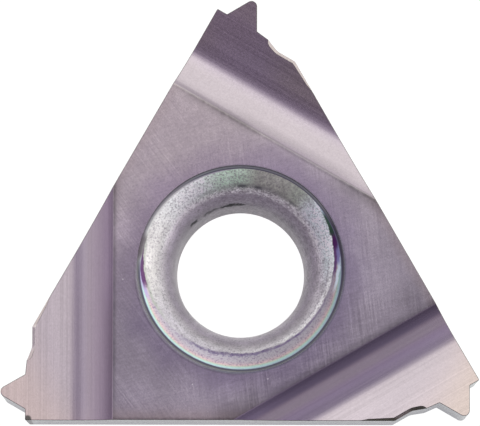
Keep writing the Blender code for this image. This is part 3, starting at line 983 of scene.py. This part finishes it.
def seat_colours(place, spoke, wobbly, grain):
    """Bore and seat: silver-grey, dotted, with painted light and shade by azimuth and in rings, greenish and
    olive-grey at the back.
    """
    colour = colour_bands(remapped(wobbly, 2.0, 3.2), [
        (0.00, (0.62, 0.60, 0.62)), (0.10, (0.56, 0.53, 0.57)), (0.24, (0.58, 0.53, 0.61)),
        (0.36, (0.66, 0.62, 0.67)), (0.46, (0.70, 0.67, 0.71)), (1.00, (0.69, 0.66, 0.69)),
    ])
    # Painted light and shade on the upper seat by azimuth, where it reflects brighter or dimmer parts of the
    # studio
    upper = eased(wobbly, 2.45, 2.70)
    for azimuth, inner, outer, share, tint in (
        (68, 14, 32, 0.95, (0.47, 0.505, 0.42)), (104, 2, 26, 0.8, (0.70, 0.98, 0.72)),
        (138, 14, 38, 0.9, (0.96, 0.99, 0.99)), (18, 14, 34, 0.9, (0.90, 0.96, 0.98)),
        (178, 14, 44, 0.9, (0.58, 0.555, 0.57)), (232, 16, 44, 0.7, (0.62, 0.58, 0.66)),
    ):
        colour = mixed(times(sector(spoke, azimuth, inner, outer), upper, share), colour, tint)
    # Painted light and shade in rings of the seat, by azimuth
    for there, gain in zones(wobbly, spoke, (
        (30, 24, 60, 2.80, 0.20, 0.30, 1.12), (142, 10, 30, 2.42, 0.06, 0.16, 1.42),
        (163, 8, 24, 2.84, 0.14, 0.12, 1.11), (18, 8, 20, 2.45, 0.05, 0.15, 1.22),
        (300, 8, 20, 2.72, 0.06, 0.08, 0.86), (344, 6, 16, 2.88, 0.12, 0.08, 0.88),
        (222, 8, 20, 2.78, 0.05, 0.08, 0.84), (38, 8, 18, 3.02, 0.03, 0.06, 0.86),
        (27, 6, 16, 2.64, 0.03, 0.06, 0.90), (12, 5, 14, 2.77, 0.04, 0.06, 1.09),
        (275, 30, 60, 2.10, 0.10, 0.20, 1.24), (354, 8, 20, 2.76, 0.12, 0.10, 0.76),
        (200, 20, 50, 2.50, 0.20, 0.20, 1.06), (310, 12, 30, 2.35, 0.08, 0.15, 0.90),
    )):
        colour = vector("MULTIPLY", colour, scaled(there, gain - 1.0, 1.0))
    greener = times(remapped(wobbly, 2.55, 2.8), sector(spoke, 28, 20, 36))
    colour = dyed(greener, colour, (0.98, 1.06, 1.01))
    # Painted shade: a dark ring on the seat just above the bore
    ring = times(band(wobbly, 2.27, 0.10, 0.16), sector(spoke, 75, 20, 110))
    colour = mixed(times(ring, 0.75), colour, (0.36, 0.33, 0.39))
    back = sector(spoke, 60, 40, 100)
    calm = scaled(sector(spoke, 66, 10, 30), -0.5, 1.0)
    dots = times(grain["Dots"], remapped(wobbly, 2.1, 2.6, 0.4, 0.85), calm)
    colour = mixed(dots, colour, (0.40, 0.36, 0.42))
    # Painted shade in a dark ring of the seat
    shaded = times(band(wobbly, 2.64, 0.04, 0.08), sector(spoke, 82, 12, 34), 0.45)
    colour = mixed(shaded, colour, (0.30, 0.30, 0.31))
    # Painted shade low in the bore at the back
    bore_shade = times(remapped(wobbly, 2.20, 2.12), sector(spoke, 90, 45, 85), 0.30)
    colour = mixed(bore_shade, colour, (0.20, 0.19, 0.21))
    # Painted highlight in a light band of the seat
    light = times(band(wobbly, 2.50, 0.05, 0.07), sector(spoke, 70, 40, 80),
                  remapped(grain["Grain"], 0.54, 0.46))
    colour = mixed(times(light, 0.6), colour, (0.88, 0.91, 0.88))
    colour = vector("MULTIPLY", colour, remapped(noise(place, 4.0, 2.0, 0.5), 0.38, 0.62, 0.92, 1.07))
    mottle = remapped(grain["Grain"], 0.35, 0.65, 1.12, 0.88)
    deeper = remapped(grain["Grain"], 0.37, 0.60, 1.30, 0.72)
    mottle = plus(mottle, times(back, minus(deeper, mottle)))
    return vector("MULTIPLY", colour, mottle)


def with_crescent(colour, place, axis, grain):
    """Seat's colour with the crescent: the facet outside an off-centre circle, in tarnish colours."""
    radius, spoke = around_centre(place, axis)
    centre = (axis[0] + float(FACET_CENTRE[0]), axis[1] + float(FACET_CENTRE[1]))
    distance, facet_spoke = around_centre(place, centre)
    beyond = minus(distance, FACET_RADIUS)
    beyond = plus(beyond, scaled(noise(place, 2.6, 3.0, 0.6), 0.10, -0.05))
    beyond = plus(beyond, scaled(grain["Grain"], 0.05, -0.025))
    nearer = scaled(sector(spoke, 225, 25, 60), -0.02, radius)
    nearer = plus(nearer, scaled(grain["Grain"], 0.04, -0.02))
    bands = colour_bands(remapped(nearer, 2.6, 3.2), [
        (0.00, (0.56, 0.53, 0.62)), (0.50, (0.58, 0.53, 0.62)), (0.64, (0.66, 0.54, 0.62)),
        (0.70, (0.82, 0.59, 0.65)), (0.77, (0.66, 0.67, 0.60)), (0.84, (0.56, 0.82, 0.80)),
        (0.90, (0.54, 0.69, 0.80)),
    ])
    plain = remapped(nearer, 3.08, 3.02, 0.15, 1.0)
    bands = mixed(times(grain["Dots"], plain), bands, (0.34, 0.26, 0.40))
    bands = vector("MULTIPLY", bands, scaled(sector(spoke, 325, 25, 75), -0.26, 0.82))
    green = times(sector(spoke, 185, 14, 34), eased(beyond, -0.14, -0.02), 0.8)
    colour = mixed(green, colour, (0.36, 0.38, 0.35))
    colour = mixed(remapped(beyond, -0.008, 0.008), colour, bands)
    for there, tint in zones(beyond, spoke, (
        (0, 6, 16, 0.16, 0.03, 0.03, (0.60, 0.70, 0.78)),
        (11, 5, 10, 0.12, 0.05, 0.03, (0.22, 0.19, 0.42)),
        (9, 8, 15, 0.045, 0.022, 0.03, (0.13, 0.06, 0.18)),
        (18.5, 4, 8.5, 0.07, 0.05, 0.03, (0.085, 0.02, 0.11)),
        (27, 4, 8.5, 0.05, 0.05, 0.03, (0.035, 0.085, 0.05)),
        (187, 6, 14, 0.08, 0.03, 0.03, (0.44, 0.38, 0.62)),
        (178, 9, 15, 0.03, 0.045, 0.03, (0.105, 0.03, 0.13)),
    )):
        colour = mixed(times(there, 0.92), colour, tint)

    # The crescent's lower border: a ragged dark line, and a bright one inside it on the right
    ragged = remapped(grain["Grain"], 0.42, 0.55, 1.0, 0.35)
    dark = times(band(beyond, 0.01, 0.03, 0.035), sector(facet_spoke, 288, 20, 60), ragged)
    colour = mixed(times(dark, 0.95), colour, (0.13, 0.09, 0.20))
    torn = remapped(noise(place, 9.0, 3.0, 0.7), 0.48, 0.56)
    dark = times(band(beyond, 0.03, 0.05, 0.04), sector(facet_spoke, 264, 12, 34), torn)
    colour = mixed(times(dark, 0.7), colour, (0.16, 0.13, 0.24))
    side = sector(facet_spoke, 332, 26, 42)
    bright = times(band(beyond, -0.08, 0.035, 0.05), side, remapped(grain["Grain"], 0.58, 0.42))
    colour = mixed(times(bright, 0.85), colour, (0.93, 0.93, 0.94))
    streak = times(band(beyond, -0.15, 0.012, 0.03), sector(facet_spoke, 338, 14, 34), torn)
    return mixed(times(streak, 0.7), colour, (0.30, 0.28, 0.33))


def with_marks(colour, place, axis, wobbly, grain):
    """Hole's colour with its marks: a ragged dark scar along the bore's top, dark spots, and pores."""
    radius, spoke = around_centre(place, axis)
    uneven = plus(radius, scaled(noise(place, 5.0, 3.0, 0.6), 0.12, -0.06))
    scar = None
    for azimuth, inner, outer, share in (
        (97, 9, 12, 1.0), (116, 5, 9, 0.6), (134, 2.5, 5, 0.9),
    ):
        part = times(sector(spoke, azimuth, inner, outer), share)
        scar = part if scar is None else value("MAXIMUM", scar, part)
    scar = times(scar, band(uneven, 2.118, 0.014, 0.022))
    colour = mixed(scar, colour, (0.03, 0.03, 0.035))
    for azimuth, reach, share in ((52.0, 4.0, 0.5), (78.0, 3.4, 0.8), (89.0, 4.2, 0.8), (114.0, 9.0, 0.35)):
        spot = times(band(wobbly, 2.63, 0.02, 0.05), sector(spoke, azimuth, 0.6, reach), share)
        colour = mixed(spot, colour, (0.11, 0.12, 0.13))
    return mixed(times(grain["Pores"], 0.6), colour, (0.12, 0.12, 0.13))


def with_brink(colour, radius, spoke):
    """Hole's colour with the rim's broken edge.

    It is slate between two thin dark lines, and in the lower half one dark line under a grey band.
    """
    across = remapped(radius, BRINK_FROM, BRINK_TO)
    brink = colour_bands(across, [
        (0.0, (0.50, 0.50, 0.55)), (0.20, (0.12, 0.12, 0.16)), (0.46, (0.38, 0.42, 0.42)),
        (0.68, (0.30, 0.33, 0.33)), (0.86, (0.11, 0.11, 0.12)), (1.0, (0.24, 0.22, 0.25)),
    ])
    fading = colour_bands(across, [
        (0.0, (0.62, 0.62, 0.63)), (0.30, (0.38, 0.37, 0.40)), (0.60, (0.26, 0.25, 0.28)),
        (0.86, (0.12, 0.11, 0.13)), (1.0, (0.24, 0.22, 0.25)),
    ])
    brink = mixed(sector(spoke, 152, 14, 40), brink, fading)
    lower = colour_bands(across, [
        (0.0, (0.34, 0.38, 0.48)), (0.30, (0.10, 0.09, 0.14)), (0.50, (0.09, 0.085, 0.12)),
        (0.75, (0.12, 0.12, 0.14)), (1.0, (0.15, 0.145, 0.17)),
    ])
    paler = times(sector(spoke, 222, 30, 60), remapped(radius, 3.20, 3.25))
    lower = mixed(times(paler, 0.7), lower, (0.21, 0.205, 0.22))
    brink = mixed(sector(spoke, 283, 99, 118), brink, lower)
    tip = sector(spoke, 167, 3, 9)
    brink = mixed(times(tip, 0.8), brink, (0.10, 0.08, 0.10))
    start = scaled(tip, 0.02, radius)
    start = scaled(sector(spoke, 134, 26, 46), 0.035, start)
    start = scaled(sector(spoke, 305, 45, 60), -0.015, start)
    return mixed(remapped(start, BRINK_FROM, BRINK_FROM + 0.02), colour, brink)


def pressed_hole(groups, axis):
    """Screw hole: pressed and sintered, silver-grey and speckled, with a tinted crescent under the rim."""
    material, tree, shader = start_material("coated_pressed_hole")
    place = in_millimetres(tree)
    radius, spoke = around_centre(place, axis)
    grain = place_group(tree, groups["grain"], {"Vector": place, "Scale": 8.0})
    wobbly = plus(radius, scaled(grain["Grain"], 0.16, -0.08))
    colour = seat_colours(place, spoke, wobbly, grain)
    colour = with_crescent(colour, place, axis, grain)
    colour = with_marks(colour, place, axis, wobbly, grain)
    colour = with_brink(colour, radius, spoke)
    roughness = remapped(grain["Grain"], 0.35, 0.65, 0.46, 0.58)
    finish_surface(tree, shader, colour, roughness, grain["Grain"], 0.009)
    return material


def direction_towards(azimuth, from_zenith):
    """Unit vector at an azimuth and an angle from straight up, both in degrees."""
    turn, fall = math.radians(azimuth), math.radians(from_zenith)
    return (math.cos(turn) * math.sin(fall), math.sin(turn) * math.sin(fall), math.cos(fall))


def studio_world():
    """Soft studio round the part: a broad bright side, a dim side, and a dark patch about overhead.

    The level goes smoothly from the dim to the bright side across the zenith, falls off towards the
    horizon, and is multiplied by a smooth dark patch. Camera rays see plain white.
    """
    world = bpy.data.worlds.new("studio")
    bpy.context.scene.world = world
    world.use_nodes = True
    tree = world.node_tree
    tree.nodes.clear()
    look = node(tree, "TexCoord").outputs["Generated"]

    def towards(direction):
        return dot(look, direction)

    bright = towards(direction_towards(BRIGHT_SIDE, 90.0))
    side = eased(bright, -SIDE_SPREAD, SIDE_SPREAD)
    level = remapped(side, 0.0, 1.0, DIM_LEVEL, BRIGHT_LEVEL)
    up = component(look, "Z")
    far_side = eased(bright, -HORIZON_SPREAD, HORIZON_SPREAD)
    share = remapped(far_side, 0.0, 1.0, *HORIZON_SHARES)
    top = remapped(far_side, 0.0, 1.0, *HORIZON_TOPS)
    rise = node(tree, "MapRange", {"Value": up, "From Max": top, "To Min": share},
                interpolation_type="SMOOTHSTEP").outputs["Result"]
    fall = value("MINIMUM", rise, 1.0)
    centre = direction_towards(*PATCH_PLACE)
    patch = eased(towards(centre), math.cos(math.radians(PATCH_OUTER)),
                  math.cos(math.radians(PATCH_INNER)), 1.0, PATCH_SHARE)
    level = times(times(level, fall), patch)
    for azimuth, from_zenith, inner, outer, gain in SOFT_LIGHTS:
        spread = eased(towards(direction_towards(azimuth, from_zenith)),
                       math.cos(math.radians(outer)), math.cos(math.radians(inner)), 0.0, gain)
        level = plus(level, spread)
    tint = colour_bands(remapped(level, 0.0, TINT_REACH), LIGHT_TINTS)
    light = node(tree, "Background", {"Color": tint, "Strength": level})
    white = node(tree, "Background", {"Color": WHITE, "Strength": BACKDROP_LEVEL})
    seen = node(tree, "LightPath").outputs["Is Camera Ray"]
    blend = node(tree, "MixShader", {0: seen, 1: light.outputs[0], 2: white.outputs[0]})
    tree.links.new(blend.outputs[0], node(tree, "OutputWorld").inputs["Surface"])


def studio_floor():
    """Plain pale floor: a flat ring-wise grid of radius times angle, that shows near white to the camera."""
    radii = np.array(FLOOR_RADII)[:, None, None]
    angles = np.linspace(0.0, 2.0 * math.pi, FLOOR_SIDES, endpoint=False)[None, :]
    rings = radii * np.stack([np.cos(angles), np.sin(angles)], axis=-1)
    places = np.concatenate([rings, np.full(rings.shape[:2] + (1,), -FLOOR_DROP)], axis=2).reshape(-1, 3)
    ring = np.arange(len(radii) - 1)[:, None] * FLOOR_SIDES
    step = np.arange(FLOOR_SIDES)[None, :]
    after = (step + 1) % FLOOR_SIDES
    outer = ring + FLOOR_SIDES
    quads = np.stack([ring + step, outer + step, outer + after, ring + after], -1)
    mesh = bpy.data.meshes.new("studio_floor")
    mesh.from_pydata(places, [], quads.reshape(-1, 4).tolist())
    material = bpy.data.materials.new("studio_floor")
    material.use_nodes = True
    tree = material.node_tree
    shader = tree.nodes["Principled BSDF"]
    shader.inputs["Base Color"].default_value = FLOOR_COLOUR
    shader.inputs["Roughness"].default_value = FLOOR_ROUGHNESS
    rays = node(tree, "LightPath").outputs
    others = plus(rays["Is Glossy Ray"], rays["Is Transmission Ray"])
    share = plus(times(rays["Is Camera Ray"], SEEN_SHARE), times(others, REFLECTED_SHARE))
    white = node(tree, "Emission", {"Color": WHITE, "Strength": FLOOR_LEVEL})
    blend = node(tree, "MixShader", {0: share, 1: shader.outputs[0], 2: white.outputs[0]})
    tree.links.new(blend.outputs[0], tree.nodes["Material Output"].inputs["Surface"])
    mesh.materials.append(material)
    floor = bpy.data.objects.new("studio_floor", mesh)
    bpy.context.scene.collection.objects.link(floor)
    return floor


def studio_camera(axis):
    """Camera over the plate, leaning a little towards the photo's lower edge and slightly rolled."""
    right = np.array([1.0, 0.0, 0.0])
    up = np.array([0.0, math.cos(CAMERA_TILT), math.sin(CAMERA_TILT)])
    back = np.array([0.0, -math.sin(CAMERA_TILT), math.cos(CAMERA_TILT)])
    aim = np.array([axis[0], axis[1], THICKNESS]) + right * AIM_RIGHT + up * AIM_UP
    data = bpy.data.cameras.new("studio_camera")
    data.sensor_width = SENSOR_WIDTH
    data.lens = CAMERA_LENS
    data.clip_start, data.clip_end = CLIP_RANGE
    camera = bpy.data.objects.new("studio_camera", data)
    camera.location = (aim + back * CAMERA_DISTANCE) * MM
    tilt = Matrix.Rotation(CAMERA_TILT, 3, "X")
    camera.rotation_euler = (tilt @ Matrix.Rotation(CAMERA_ROLL, 3, "Z")).to_euler()
    bpy.context.scene.collection.objects.link(camera)
    bpy.context.scene.camera = camera


def main():
    axis = [float(part) for part in hole_place()]
    lines = grinding_lines_group()
    groups = {
        "tint": coating_tint_group(axis),
        "borders": borders_group(axis),
        "lines": lines,
        "scratches": lapping_scratches_group(lines),
        "specks": specks_group(),
        "grain": pressed_grain_group(),
    }
    insert = build_insert([
        lapped_face(groups, axis), ground_rake(groups, axis), ground_flank(groups, axis),
        pressed_hole(groups, axis),
    ])
    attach(insert, "root")
    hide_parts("insert")
    studio_floor()
    studio_world()
    studio_camera(axis)
    bpy.context.scene.view_settings.view_transform = "Standard"


main()
